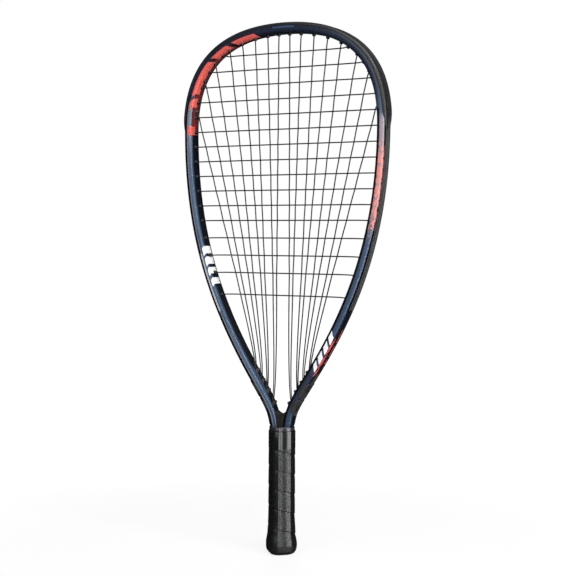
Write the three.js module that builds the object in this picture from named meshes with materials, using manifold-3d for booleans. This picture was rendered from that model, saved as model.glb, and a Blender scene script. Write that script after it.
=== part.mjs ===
// Racquetball racket, built piece by piece. Millimetres, +Z along the handle towards the crown,
// +Y square to the face, origin at the middle of the flat butt end.

import * as THREE from 'three';
import { mergeVertices } from 'three/addons/utils/BufferGeometryUtils.js';
import Module from 'manifold-3d';

const wasm = await Module();
wasm.setup();

// Centre line of the bent frame tube, right half, as three curves and a straight shaft.
const crownHeight = 552.2;
const crownHandle = 72;
const widestHalf = 115.4;
const widestHeight = 450;
const sideHandle = 114.5;
const armPoint = new THREE.Vector2(33.8, 188.6);
const armAngle = THREE.MathUtils.degToRad(33.7);
const armHandleUp = 85.4;
const armHandleDown = 42;
const shaftHalf = 6.6;
const shaftTop = 118;
const shaftHandle = 30;
const shaftEnd = 16;

// Stations in each stretch: crown to widest, to the throat strips' ends, to the shaft, handle.
const stationCounts = [12, 7, 4, 3, 1];
const leastStation = 2;

// Section of the frame tube: half its width across the tube, half its depth along Y.
const tubeHalf = 4.4;
const tubeDepthHalf = 9;
const cornerRadius = 3;
const shaftTubeHalf = 4.1;
const shaftDepthHalf = 5.9;
const taperTop = 185;
const taperBottom = 126;

// String channel along the outer side of the tube, as half widths at its mouth and floor.
const channelDepth = 2;
const channelMouth = 3.2;
const channelFloor = 2.4;
const channelEnd = 138;
const channelFade = 6;

// Clearance between pieces that touch, and the wall of the moulded strips.
const gap = 0.3;
const stripWall = 1;
const stripSide = 0.35;
const flange = 0.6;
const flangeEdge = 0.4;
const sideFlange = 5;
const throatFlange = 3.6;

// Bumper guard over the crown, with rails that reach round the tube's corners to thin lips.
const bumperEnd = 446;
const bumperTaper = 18;
const bumperRail = 1.9;
const bumperFlat = 5.8;
const bumperReach = 9;
const bumperTuck = 1;
const lipWall = 0.6;
const lipDrop = 0.9;

// Strips below the guard, and the two throat strips.
const stripTop = 445.2;
const stripBottom = 262;
const throatStripTop = 195;
const throatStripBottom = 144;

// Barrels of the strips, and the holes that they pass through.
const barrelRadius = 2.1;
const boreRadius = 1.5;
const barrelReach = 2.2;
const throatBarrel = { across: 1.7, along: 2.7, reach: 3 };
const throatBore = { across: 1.15, along: 2.1 };
const barrelSides = 6;
const drillSides = 5;
const drillReach = 4;
const holeLean = 0.6;
const throatLean = 1;
const firstCrossRun = 30;

// Strings: one for the sixteen mains and one for the sixteen crosses.
const stringRadius = 0.65;
const stringSides = 5;
const weaveHalf = 0.8;
const mainTipX = [107.6, 97.5, 84.2, 66.2, 51, 35, 20, 6.4];
const throatHoleHeights = [187.5, 177, 167, 154.5];
const crossTop = 528.2;
const crossPitch = 15.95;
const evenCrosses = 12;
const lowerPitch = 18.6;
const lastPitch = 23.3;
const crossCount = 16;
const loopHeight = 4.75;
const loopOffset = 1.2;
const loopStep = 12;
const exitHeight = 4.2;
const exitOffset = 0.45;
const exitLead = 1.6;
const throatOffset = 1;
const tailLength = 9;
const crownMargin = 3;
const rimMargin = 1;

// Handle: an octagon, longer along Y, with the wrap on the outside.
const gripHalfX = 13.6;
const gripHalfY = 14.5;
const gripDiagonal = 18.25;
const gripCorner = 1.2;
const wrapThickness = 1.5;
const wrapOverlap = 0.35;
const wrapPitch = 19.7;
const wrapSeam = 0.5;
const wrapBottom = 10;
const wrapTop = 131;
const wrapStart = -0.5;
const wrapLeast = 1.4;
const palletTop = 129;
const palletBottom = 12;
const palletSplit = 1;
const palletRelief = 0.35;
const palletInset = wrapThickness + gap;

// Butt cap with its flare, its sleeve under the wrap and the opening for a wrist cord.
const capTop = 9.7;
const sleeveHeights = [9.7, 14.5, 19, 24];
const sleeveTop = sleeveHeights.at(-1);
const capFloor = 5;
const flareStart = 40;
const flareStep = 0.75;
const flareBelow = 24;
const flareWide = 1.85;
const cordSlot = { halfX: 8.5, halfY: 5, bar: 1.3, barDepth: 2.6, barBottom: 0.6 };
const slotSides = 12;
const capSide = [[-3, 0], [-0.4, 0.9], [1.6, 3.6], [2.3, 6.2]];

// Staples that hold the butt cap's sleeve to the pallets.
const staple = { height: 15, halfWidth: 2.6, wire: 0.7, legs: 5, sink: 0.1 };

// Collar above the wrap and the insert between the two arms.
const collarBottom = 131.4;
const collarTop = 135.4;
const collarWall = 1.2;
const collarCorner = 1.8;
const collarRound = 0.3;
const insertTop = 150;
const insertSaddle = 148.5;
const insertBottom = 100;
const insertHalfY = 5.4;

// Distance below which vertices are one, halvings of a search, and step of the gap test.
const weld = 1e-4;
const halvings = 40;
const gapStep = 1.5;

const smooth = THREE.MathUtils.smoothstep;

// Half of the centre line, from the crown to the handle end, as x and z.
function makeHalfLine() {
  const crown = new THREE.Vector2(0, crownHeight);
  const widest = new THREE.Vector2(widestHalf, widestHeight);
  const shaft = new THREE.Vector2(shaftHalf, shaftTop);
  const slope = new THREE.Vector2(-Math.sin(armAngle), -Math.cos(armAngle));
  const line = new THREE.CurvePath();
  line.add(new THREE.CubicBezierCurve(
    crown,
    new THREE.Vector2(crownHandle, crownHeight),
    new THREE.Vector2(widestHalf, widestHeight + crownHandle),
    widest));
  line.add(new THREE.CubicBezierCurve(
    widest,
    new THREE.Vector2(widestHalf, widestHeight - sideHandle),
    armPoint.clone().addScaledVector(slope, -armHandleUp),
    armPoint));
  line.add(new THREE.CubicBezierCurve(
    armPoint,
    armPoint.clone().addScaledVector(slope, armHandleDown),
    new THREE.Vector2(shaftHalf, shaftTop + shaftHandle),
    shaft));
  line.add(new THREE.LineCurve(shaft, new THREE.Vector2(shaftHalf, shaftEnd)));
  return line;
}

const halfLine = makeHalfLine();
const halfLength = halfLine.getLength();

// Place on the centre line at a run of s from the crown, negative on the left side.
function station(s) {
  const side = s < 0 ? -1 : 1;
  const t = Math.min(Math.abs(s) / halfLength, 1);
  const p = halfLine.getPoint(t);
  const along = halfLine.getTangent(t);
  const fade = smooth(p.y, taperBottom, taperTop);
  return {
    x: side * p.x,
    z: p.y,
    outX: -side * along.y,
    outZ: along.x,
    half: THREE.MathUtils.lerp(shaftTubeHalf, tubeHalf, fade),
    depthHalf: THREE.MathUtils.lerp(shaftDepthHalf, tubeDepthHalf, fade),
    channel: channelDepth * smooth(p.y, channelEnd - channelFade, channelEnd),
  };
}

// Point u outside the centre line and v along Y, at a run of s.
function place(s, u, v) {
  const at = station(s);
  return new THREE.Vector3(at.x + at.outX * u, v, at.z + at.outZ * u);
}

// Run s between two limits where the given value reaches its target.
function solve(value, target, low, high) {
  const rising = value(high) > value(low);
  for (let step = 0; step < halvings; step += 1) {
    const middle = (low + high) / 2;
    if ((value(middle) < target) === rising) {
      low = middle;
    } else {
      high = middle;
    }
  }
  return (low + high) / 2;
}

const runAtHeight = (z) => solve((s) => station(s).z, z, 1, halfLength);
const widestRun = runAtHeight(widestHeight);

// Stations shared by every swept piece, closer together where the tube bends more.
function makeRuns() {
  const heights = [widestHeight, throatStripTop, throatStripBottom, shaftTop];
  const ends = [0, ...heights.map(runAtHeight), halfLength];
  const half = [0];
  stationCounts.forEach((count, stretch) => {
    for (let i = 1; i <= count; i += 1) {
      half.push(THREE.MathUtils.lerp(ends[stretch], ends[stretch + 1], i / count));
    }
  });
  return [...half.slice(1).reverse().map((s) => -s), ...half];
}

const runs = makeRuns();

// Shared stations between two runs, with the two ends themselves.
function runsBetween(from, to) {
  const inside = runs.filter((s) => s > from + leastStation && s < to - leastStation);
  return [from, ...inside, to];
}

// Signed volume of an indexed mesh, positive when its faces point out.
function signedVolume(positions, triangles) {
  let sum = 0;
  for (let i = 0; i < triangles.length; i += 3) {
    const [a, b, c] = [0, 1, 2].map((k) => new THREE.Vector3().fromArray(positions, 3 * triangles[i + k]));
    sum += a.dot(b.cross(c)) / 6;
  }
  return sum;
}

function meshGeometry(positions, triangles) {
  if (signedVolume(positions, triangles) < 0) {
    triangles = triangles.slice().reverse();
  }
  const geometry = new THREE.BufferGeometry();
  geometry.setAttribute('position', new THREE.Float32BufferAttribute(positions, 3));
  geometry.setIndex(triangles);
  return geometry;
}

// Closed solid through rings of equal point count, its ends capped by the flat profile given.
function loft(rings, profile) {
  const count = profile.length;
  const positions = rings.flat().flatMap((p) => [p.x, p.y, p.z]);
  const triangles = [];
  for (let r = 0; r + 1 < rings.length; r += 1) {
    for (let i = 0; i < count; i += 1) {
      const a = r * count + i;
      const b = r * count + (i + 1) % count;
      triangles.push(a, b, b + count, a, b + count, a + count);
    }
  }
  const last = (rings.length - 1) * count;
  for (const [a, b, c] of THREE.ShapeUtils.triangulateShape(profile, [])) {
    triangles.push(c, b, a, last + a, last + b, last + c);
  }
  return meshGeometry(positions, triangles);
}

// Solid swept along the frame: profileAt gives the section's u and v at each run.
function sweep(sweepRuns, profileAt) {
  const rings = sweepRuns.map((s) => profileAt(s).map(([u, v]) => place(s, u, v)));
  const profile = profileAt(sweepRuns[0]).map(([u, v]) => new THREE.Vector2(u, v));
  return loft(rings, profile);
}

// Profile made of its half at positive v and that half's mirror image.
function mirrored(half) {
  const other = half.map(([u, v]) => [u, -v]).reverse();
  return [...half, ...other];
}

function toSolid(geometry) {
  const bare = geometry.clone();
  bare.deleteAttribute('normal');
  bare.deleteAttribute('uv');
  const merged = mergeVertices(bare, weld);
  return new wasm.Manifold(new wasm.Mesh({
    numProp: 3,
    vertProperties: new Float32Array(merged.attributes.position.array),
    triVerts: new Uint32Array(merged.index.array),
  }));
}

function toGeometry(solid) {
  const mesh = solid.getMesh();
  return meshGeometry(Array.from(mesh.vertProperties), Array.from(mesh.triVerts));
}

// Straight prism from one point to another in the plane of the face, with half sizes
// across its run in that plane and along Y.
function prism(from, to, across, along, sides) {
  const run = to.clone().sub(from).normalize();
  const flat = new THREE.Vector3(-run.z, 0, run.x);
  const profile = [];
  for (let i = 0; i < sides; i += 1) {
    const angle = (2 * Math.PI * i) / sides;
    profile.push(new THREE.Vector2(across * Math.cos(angle), along * Math.sin(angle)));
  }
  const depth = new THREE.Vector3(0, 1, 0);
  const ringAt = (end) => profile.map((p) => {
    return end.clone().addScaledVector(flat, p.x).addScaledVector(depth, p.y);
  });
  return loft([ringAt(from), ringAt(to)], profile);
}

// Hole through the tube at a run of s, leaning towards the string that comes out of it.
// Its tip is the barrel's open end inside the hoop, its exit is in the outer channel.
function makeHole(s, stringX, stringZ, lean, reach) {
  const at = station(s);
  const string = new THREE.Vector3(stringX, 0, stringZ).normalize();
  const inward = new THREE.Vector3(-at.outX, 0, -at.outZ);
  const axis = inward.clone().addScaledVector(string, lean).normalize();
  const stretch = 1 / axis.dot(inward);
  const centre = new THREE.Vector3(at.x, 0, at.z);
  const onAxis = (u) => centre.clone().addScaledVector(axis, -u * stretch);
  const tip = onAxis(-at.half - reach);
  const exit = onAxis(exitHeight);
  const forward = new THREE.Vector3(at.outZ, 0, -at.outX);
  const shift = exit.clone().sub(centre).dot(forward);
  return { s, tip, exit, exitRun: s + shift, onAxis };
}

// Holes of the right half. The left half's are their mirror image.
const throatRuns = throatHoleHeights.map(runAtHeight);

function mainCrownHole(rank) {
  const throat = station(throatRuns[Math.floor(rank / 2)]);
  const holeAt = (s) => {
    const at = station(s);
    return makeHole(s, throat.x - at.x, throat.z - at.z, holeLean, barrelReach);
  };
  return holeAt(solve((s) => holeAt(s).tip.x, mainTipX[rank], 1, widestRun));
}

function crossHeight(index) {
  const lower = index - evenCrosses + 1;
  if (lower <= 0) {
    return crossTop - index * crossPitch;
  }
  const wide = Math.min(lower, crossCount - evenCrosses - 1);
  const last = lower > wide ? lastPitch : 0;
  return crossTop - (evenCrosses - 1) * crossPitch - wide * lowerPitch - last;
}

function crossHole(index) {
  const holeAt = (s) => makeHole(s, -1, 0, holeLean, barrelReach);
  return holeAt(solve((s) => holeAt(s).tip.z, crossHeight(index), firstCrossRun, runAtHeight(stripBottom)));
}

function throatHole(pair) {
  const s = throatRuns[pair];
  const at = station(s);
  const crown = mainTipX.slice(2 * pair, 2 * pair + 2).reduce((a, b) => a + b) / 2;
  return makeHole(s, crown - at.x, crownHeight - at.z, throatLean, throatBarrel.reach);
}

const indices = (count) => Array.from({ length: count }, (_, i) => i);
const crownHoles = indices(mainTipX.length).map(mainCrownHole);
const crossHoles = indices(crossCount).map(crossHole);
const throatHoles = indices(throatHoleHeights.length).map(throatHole);

// The same hole on the left side.
function mirrorHole(hole) {
  const flip = (p) => new THREE.Vector3(-p.x, p.y, p.z);
  return {
    s: -hole.s,
    tip: flip(hole.tip),
    exit: flip(hole.exit),
    exitRun: -hole.exitRun,
    onAxis: (u) => flip(hole.onAxis(u)),
  };
}

const bothSides = (holes) => holes.flatMap((hole) => [hole, mirrorHole(hole)]);
const onSide = (side, hole) => (side > 0 ? hole : mirrorHole(hole));

// Frame tube: rounded box section with the string channel, swept round the hoop and down
// both arms into the handle, then drilled for every barrel.
function tubeProfile(s) {
  const at = station(s);
  const round = cornerRadius * (1 - Math.SQRT1_2);
  return mirrored([
    [-at.half, at.depthHalf - cornerRadius],
    [-at.half + round, at.depthHalf - round],
    [-at.half + cornerRadius, at.depthHalf],
    [at.half - cornerRadius, at.depthHalf],
    [at.half - round, at.depthHalf - round],
    [at.half, at.depthHalf - cornerRadius],
    [at.half, Math.min(channelMouth, (channelFloor + at.depthHalf - cornerRadius) / 2)],
    [at.half - at.channel, channelFloor],
  ]).reverse();
}

function makeFrameTube() {
  let solid = toSolid(sweep(runs, tubeProfile));
  const roomy = 1 / Math.cos(Math.PI / drillSides);
  const drill = (hole, across, along) => {
    const [from, to] = [hole.onAxis(tubeHalf + drillReach), hole.onAxis(-tubeHalf - drillReach)];
    const cutter = prism(from, to, across, along, drillSides);
    solid = solid.subtract(toSolid(cutter));
  };
  for (const hole of bothSides([...crownHoles, ...crossHoles])) {
    drill(hole, (barrelRadius + gap) * roomy, (barrelRadius + gap) * roomy);
  }
  for (const hole of bothSides(throatHoles)) {
    drill(hole, (throatBarrel.across + gap) * roomy, (throatBarrel.along + gap) * roomy);
  }
  return toGeometry(solid);
}

// Floor of a strip in the channel, with a flange of the given reach on either side.
function stripProfile(reach) {
  const bottom = tubeHalf - channelDepth + gap;
  const floor = bottom + stripWall;
  const seat = tubeHalf + gap;
  return mirrored([
    [floor, channelFloor - gap - stripSide],
    [seat + flange, channelMouth - gap - stripSide],
    [seat + flange, reach - flangeEdge],
    [seat, reach],
    [seat, channelMouth - gap],
    [bottom, channelFloor - gap],
  ]);
}

// Section of the bumper guard: the strip's floor with two tall rails that reach round the
// tube's outer corners. Rails and reach fade towards the guard's ends.
function bumperProfile(s) {
  const bottom = tubeHalf - channelDepth + gap;
  const seat = tubeHalf + gap;
  const full = smooth(station(s).z - bumperEnd, 0, bumperTaper);
  const top = seat + THREE.MathUtils.lerp(flange, bumperRail, full);
  const tuck = bumperTuck * (1 - full);
  return mirrored([
    [bottom + stripWall, channelFloor - gap - stripSide],
    [top, channelMouth - gap - stripSide],
    [top, bumperFlat - tuck],
    [seat, bumperReach - tuck],
    [seat - lipDrop, bumperReach - lipWall - tuck],
    [seat, bumperFlat + gap - tuck],
    [seat, channelMouth - gap],
    [bottom, channelFloor - gap],
  ]);
}

// Adds a barrel to a strip for each hole, then opens its bore.
function addBarrels(strip, holes, barrel, bore) {
  const root = tubeHalf - channelDepth + gap + stripWall / 2;
  let solid = toSolid(strip);
  for (const hole of holes) {
    solid = solid.add(toSolid(prism(hole.onAxis(root), hole.tip, barrel.across, barrel.along, barrelSides)));
  }
  for (const hole of holes) {
    const beyond = hole.tip.clone().add(hole.tip).sub(hole.onAxis(0));
    const cutter = prism(hole.onAxis(root + drillReach), beyond, bore.across, bore.along, barrelSides);
    solid = solid.subtract(toSolid(cutter));
  }
  return toGeometry(solid);
}

const roundBarrel = { across: barrelRadius, along: barrelRadius };
const roundBore = { across: boreRadius, along: boreRadius };

function makeBumperGuard() {
  const end = runAtHeight(bumperEnd);
  const guard = sweep(runsBetween(-end, end), bumperProfile);
  const holes = bothSides([...crownHoles, ...crossHoles]).filter((hole) => Math.abs(hole.s) < end);
  return addBarrels(guard, holes, roundBarrel, roundBore);
}

function makeGrommetStrip(side) {
  const ends = [runAtHeight(stripTop), runAtHeight(stripBottom)].map((s) => side * s).sort((a, b) => a - b);
  const strip = sweep(runsBetween(...ends), () => stripProfile(sideFlange));
  const own = crossHoles.filter((hole) => hole.s > runAtHeight(stripTop));
  return addBarrels(strip, own.map((hole) => onSide(side, hole)), roundBarrel, roundBore);
}

function makeThroatGrommet(side) {
  const ends = [throatStripTop, throatStripBottom].map((z) => side * runAtHeight(z)).sort((a, b) => a - b);
  const strip = sweep(runsBetween(...ends), () => stripProfile(throatFlange));
  return addBarrels(strip, throatHoles.map((hole) => onSide(side, hole)), throatBarrel, throatBore);
}

// Insert that fills the crotch between the two arms, its top a saddle.
function makeThroatInsert() {
  const outline = [];
  const topRun = runAtHeight(insertTop);
  const bottomRun = runAtHeight(insertBottom);
  for (const s of runsBetween(topRun, bottomRun)) {
    const wall = place(s, -station(s).half - gap, 0);
    outline.push(new THREE.Vector2(wall.x, wall.z));
  }
  const shape = new THREE.Shape();
  const [first, ...rest] = outline;
  shape.moveTo(first.x, first.y);
  rest.forEach((p) => shape.lineTo(p.x, p.y));
  outline.slice().reverse().forEach((p) => shape.lineTo(-p.x, p.y));
  shape.quadraticCurveTo(0, 2 * insertSaddle - first.y, first.x, first.y);
  const settings = { depth: 2 * insertHalfY, bevelEnabled: false, curveSegments: 6 };
  const body = new THREE.ExtrudeGeometry(shape, settings);
  body.translate(0, 0, -insertHalfY);
  body.rotateX(Math.PI / 2);
  return toGeometry(toSolid(body));
}

// Tube of the string's radius through a list of points, its rings turned without twist.
function stringTube(points) {
  const profile = indices(stringSides).map((i) => {
    const angle = (2 * Math.PI * i) / stringSides;
    return new THREE.Vector2(stringRadius * Math.cos(angle), stringRadius * Math.sin(angle));
  });
  const directions = points.slice(1).map((p, i) => p.clone().sub(points[i]).normalize());
  let across = new THREE.Vector3(1, 0, 0).cross(directions[0]).normalize();
  const rings = points.map((p, i) => {
    const before = directions[Math.max(i - 1, 0)];
    const after = directions[Math.min(i, directions.length - 1)];
    const ahead = before.clone().add(after).normalize();
    across = across.clone().addScaledVector(ahead, -across.dot(ahead)).normalize();
    const up = ahead.clone().cross(across);
    return profile.map((q) => p.clone().addScaledVector(across, q.x).addScaledVector(up, q.y));
  });
  return loft(rings, profile);
}

// Loop in the outer channel between two exits, on the front or back side of the channel.
function outerLoop(from, to, offset, exitAt) {
  const toward = Math.sign(to.exitRun - from.exitRun);
  const start = from.exitRun + toward * exitLead;
  const end = to.exitRun - toward * exitLead;
  const steps = Math.max(1, Math.round(Math.abs(end - start) / loopStep));
  const middle = indices(steps + 1).map((i) => {
    return place(THREE.MathUtils.lerp(start, end, i / steps), loopHeight, offset);
  });
  const atExit = (hole) => hole.exit.clone().setY(exitAt);
  return [atExit(from), ...middle, atExit(to)];
}

const mainCount = 2 * mainTipX.length;
const rankOf = (index) => (index < mainTipX.length ? index : mainCount - 1 - index);
const sideOf = (index) => (index < mainTipX.length ? -1 : 1);
const weaveSign = (main, cross) => ((main + cross) % 2 === 0 ? 1 : -1);

// Ends of each main: its barrel tips at the throat and at the crown.
const mains = indices(mainCount).map((index) => {
  const rank = rankOf(index);
  const side = sideOf(index);
  const crown = onSide(side, crownHoles[rank]);
  const throat = onSide(side, throatHoles[Math.floor(rank / 2)]);
  const offset = weaveSign(index, crossCount - 1) * throatOffset;
  return { index, crown, throat, offset, low: throat.tip.clone().setY(offset), high: crown.tip };
});

const crosses = indices(crossCount).map((index) => {
  const right = crossHoles[index];
  return { index, right, left: mirrorHole(right), z: crossHeight(index) };
});

// Place where a main passes a cross, or null where they don't meet inside the hoop.
function crossing(main, cross) {
  const t = (cross.z - main.low.z) / (main.high.z - main.low.z);
  const x = THREE.MathUtils.lerp(main.low.x, main.high.x, t);
  const clear = cross.z < main.high.z - crownMargin && Math.abs(x) < cross.right.tip.x - rimMargin;
  return clear ? { x, z: cross.z, sign: weaveSign(main.index, cross.index) } : null;
}

// Points of one main from throat to crown, over and under the crosses.
function mainPoints(main) {
  const woven = crosses.map((cross) => crossing(main, cross)).filter(Boolean).reverse();
  const middle = woven.map((c) => new THREE.Vector3(c.x, c.sign * weaveHalf, c.z));
  return [main.low, ...middle, main.high];
}

// Points of one cross from left to right, on the other side of each main.
function crossPoints(cross) {
  const woven = mains.map((main) => crossing(main, cross)).filter(Boolean);
  const middle = woven.map((c) => new THREE.Vector3(c.x, -c.sign * weaveHalf, c.z));
  return [cross.left.tip, ...middle, cross.right.tip];
}

// Loose end of a string, laid in the channel away from its last hole.
function tail(hole, offset, toward) {
  const start = hole.exitRun + toward * exitLead;
  const laid = [place(start, loopHeight, offset), place(start + toward * tailLength, loopHeight, offset)];
  return [hole.exit.clone().setY(Math.sign(offset) * exitOffset), ...laid];
}

// Whole main string: each side goes through its four throat holes twice, and the two
// sides join over the crown.
function makeMainString() {
  const leftRanks = [0, 2, 1, 3, 4, 6, 5, 7];
  const order = [...leftRanks, ...leftRanks.slice().reverse().map((rank) => mainCount - 1 - rank)];
  const points = tail(mains[order[0]].crown, loopOffset, -1).reverse();
  order.forEach((index, i) => {
    const main = mains[index];
    const down = i % 2 === 0;
    const run = mainPoints(main);
    points.push(...(down ? run.reverse() : run));
    const next = mains[order[i + 1]];
    if (next && down) {
      const offset = Math.sign(main.offset) * loopOffset;
      points.push(...outerLoop(main.throat, next.throat, offset, main.offset));
    } else if (next) {
      points.push(...outerLoop(main.crown, next.crown, loopOffset, exitOffset));
    }
  });
  points.push(...tail(mains[order.at(-1)].crown, loopOffset, 1));
  return points;
}

// Whole cross string, from side to side down the hoop.
function makeCrossString() {
  const points = tail(crosses[0].left, -loopOffset, 1).reverse();
  crosses.forEach((cross, i) => {
    const rightward = i % 2 === 0;
    const run = crossPoints(cross);
    points.push(...(rightward ? run : run.reverse()));
    const next = crosses[i + 1];
    if (next) {
      const ends = rightward ? [cross.right, next.right] : [cross.left, next.left];
      points.push(...outerLoop(...ends, -loopOffset, -exitOffset));
    }
  });
  points.push(...tail(crosses.at(-1).left, -loopOffset, -1));
  return points;
}

// Ring of the handle's octagon, its corners cut a little, offset outwards by the given amount.
function octagon(offset) {
  const x = gripHalfX + offset;
  const y = gripHalfY + offset;
  const diagonal = gripDiagonal + offset * Math.SQRT2;
  const cut = gripCorner;
  const slant = cut * Math.SQRT1_2;
  const quarter = [
    [x, diagonal - x - cut],
    [x - slant, diagonal - x + slant],
    [diagonal - y + slant, y - slant],
    [diagonal - y - cut, y],
  ];
  const half = [...quarter, ...quarter.map(([a, b]) => [-a, b]).reverse()];
  return [...half, ...half.map(([a, b]) => [-a, -b])];
}

const octagonAt = (offset, z) => octagon(offset).map(([x, y]) => new THREE.Vector3(x, y, z));

// Extra radius of the handle towards the butt end.
function flare(z) {
  const step = flareStep * (1 - smooth(z, sleeveTop, flareStart));
  const below = 1 - smooth(z, wrapBottom, flareBelow);
  return step + flareWide * below;
}

// Grip wrap: one flat band wound up the handle, its lower edge standing proud at each seam.
function wrapPath() {
  const loop = octagon(0).map(([x, y]) => new THREE.Vector2(x, y));
  const sides = loop.map((p, i) => p.distanceTo(loop[(i + 1) % loop.length]));
  const total = sides.reduce((a, b) => a + b);
  const turns = Math.ceil((wrapTop - wrapBottom) / wrapPitch) + 1;
  const stops = [];
  for (let turn = 0; turn < turns; turn += 1) {
    let gone = 0;
    for (let i = loop.length - 1; i >= 0; i -= 1) {
      const turned = turn + gone / total + wrapStart;
      stops.push({ corner: (i + 1) % loop.length, z: wrapBottom + wrapPitch * turned });
      gone += sides[i];
    }
  }
  return stops;
}

function makeGripWrap() {
  const half = (wrapPitch - wrapSeam) / 2;
  const rings = [];
  for (const stop of wrapPath()) {
    const low = Math.max(stop.z - half, wrapBottom);
    const high = Math.min(stop.z + half, wrapTop);
    if (high - low < wrapLeast) {
      continue;
    }
    const at = (z, extra) => octagonAt(flare(z) + extra, z)[stop.corner];
    const middle = (low + high) / 2;
    const inner = -wrapThickness;
    rings.push([
      at(low, inner), at(middle, inner), at(high, inner),
      at(high, -wrapOverlap), at(middle, -wrapOverlap / 3), at(low, 0),
    ]);
  }
  const section = [[0, 0], [1, 0], [2, 0], [2, 1], [1, 1.1], [0, 1.2]];
  const profile = section.map(([x, y]) => new THREE.Vector2(x, y));
  return loft(rings, profile);
}

// Outside of the cap's sleeve under the wrap, as an offset from the handle's octagon.
const sleeveOffset = (z) => flare(z) - wrapThickness - gap;

// Staple on the front or back facet, or the slot for it where it is grown by a clearance.
function stapleSolid(side, grow) {
  const face = gripHalfY + sleeveOffset(staple.height) - staple.sink;
  const wire = staple.wire;
  const bar = (width, depth, x, y) => {
    const box = new THREE.BoxGeometry(width + 2 * grow, depth + 2 * grow, wire + 2 * grow);
    box.translate(x, side * y, staple.height);
    return toSolid(box);
  };
  const legX = staple.halfWidth - wire / 2;
  const crown = bar(2 * staple.halfWidth, wire, 0, face - wire / 2);
  const left = bar(wire, staple.legs, -legX, face - staple.legs / 2);
  const right = bar(wire, staple.legs, legX, face - staple.legs / 2);
  return crown.add(left).add(right);
}

// Pallet on the front or back of the two shafts, with a rib between them.
function makePallet(side) {
  const y = gripHalfY - palletInset;
  const diagonal = gripDiagonal - palletInset * Math.SQRT2;
  const back = shaftDepthHalf + gap;
  const rib = shaftHalf - shaftTubeHalf - gap;
  const slant = gripCorner * Math.SQRT1_2;
  const half = [
    [rib, palletSplit], [rib, back], [diagonal - back, back],
    [diagonal - y + slant, y - slant], [diagonal - y - gripCorner, y],
  ];
  const outline = [...half, ...half.map(([a, b]) => [-a, b]).reverse()];
  const shape = new THREE.Shape(outline.map(([a, b]) => new THREE.Vector2(a, side * b)));
  const pallet = new THREE.ExtrudeGeometry(shape, { depth: palletTop - palletBottom, bevelEnabled: false });
  pallet.translate(0, 0, palletBottom);
  const slot = new THREE.BoxGeometry(4 * rib, 4 * insertHalfY, 2 * (palletTop - insertBottom + gap));
  slot.translate(0, 0, palletTop);
  const relief = new THREE.BoxGeometry(2 * gripHalfX, 2 * (back + palletRelief), 2 * (palletTop - shaftTop));
  relief.translate(0, 0, palletTop);
  const bare = toSolid(pallet).subtract(toSolid(slot)).subtract(toSolid(relief));
  return toGeometry(bare.subtract(stapleSolid(side, gap)));
}

// Butt cap: flared octagonal end, hollow inside, with a bar across its opening.
function makeButtCap() {
  const bore = gap - palletInset;
  const sleeve = sleeveHeights.map((z) => [sleeveOffset(z), z]);
  const outline = [...capSide, [flare(capTop), capTop], ...sleeve];
  const profile = octagon(0).map(([x, y]) => new THREE.Vector2(x, y));
  const outer = loft(outline.map(([offset, z]) => octagonAt(offset, z)), profile);
  const inner = loft([octagonAt(bore, capFloor), octagonAt(bore, 2 * sleeveTop)], profile);
  const opening = new THREE.CylinderGeometry(1, 1, 4 * capFloor, slotSides);
  opening.rotateX(Math.PI / 2);
  opening.scale(cordSlot.halfX, cordSlot.halfY, 1);
  const bar = new THREE.BoxGeometry(2 * cordSlot.bar, 3 * cordSlot.halfY, cordSlot.barDepth);
  bar.translate(0, 0, cordSlot.barDepth / 2 + cordSlot.barBottom);
  const cut = toSolid(outer).subtract(toSolid(inner)).subtract(toSolid(opening));
  const barred = cut.add(toSolid(bar));
  return toGeometry(barred.subtract(stapleSolid(1, gap)).subtract(stapleSolid(-1, gap)));
}

// Thin collar round both shafts, just above the wrap.
function makeShaftCollar() {
  const ringAt = (z, extra) => {
    const at = station(runAtHeight(z));
    const x = at.x + at.half + gap + extra;
    const y = at.depthHalf + gap + extra;
    const corner = collarCorner + extra;
    const mid = corner * collarRound;
    const quarter = [[x, y - corner], [x - mid, y - mid], [x - corner, y]];
    const half = [...quarter, ...quarter.map(([a, b]) => [-a, b]).reverse()];
    return [...half, ...half.map(([a, b]) => [-a, -b])].map(([a, b]) => new THREE.Vector3(a, b, z));
  };
  const flat = ringAt(collarTop, 0).map((p) => new THREE.Vector2(p.x, p.y));
  const outer = loft([ringAt(collarBottom, collarWall), ringAt(collarTop, collarWall)], flat);
  const height = collarTop - collarBottom;
  const bottom = ringAt(collarBottom, 0).map((p) => p.setZ(collarBottom - height));
  const top = ringAt(collarTop, 0).map((p) => p.setZ(collarTop + height));
  const inner = loft([bottom, ringAt(collarBottom, 0), ringAt(collarTop, 0), top], flat);
  return toGeometry(toSolid(outer).subtract(toSolid(inner)));
}

// Least distance between two runs of a path, from surface to surface, leaving out neighbours.
function leastGap(points, otherPoints, skip) {
  const fine = (list) => list.slice(1).flatMap((p, i) => {
    const steps = Math.max(1, Math.ceil(p.distanceTo(list[i]) / gapStep));
    return indices(steps).map((k) => list[i].clone().lerp(p, k / steps));
  });
  const a = fine(points);
  const b = otherPoints === points ? a : fine(otherPoints);
  let least = Infinity;
  a.forEach((p, i) => {
    for (let k = otherPoints === points ? i + skip : 0; k < b.length; k += 1) {
      least = Math.min(least, p.distanceToSquared(b[k]));
    }
  });
  return Math.sqrt(least) - 2 * stringRadius;
}

function paint(color, roughness, metalness) {
  return new THREE.MeshStandardMaterial({ color, roughness, metalness });
}

const finishes = {
  paint: paint('#33486b', 0.35, 0.5),
  guard: paint('#1c1d20', 0.6, 0),
  strip: paint('#141518', 0.5, 0),
  string: paint('#3a3b3e', 0.45, 0),
  wrap: paint('#222326', 0.8, 0),
  cap: paint('#18191b', 0.6, 0),
  foam: paint('#b9ab8c', 0.9, 0),
  steel: paint('#a9abad', 0.35, 1),
};

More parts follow.
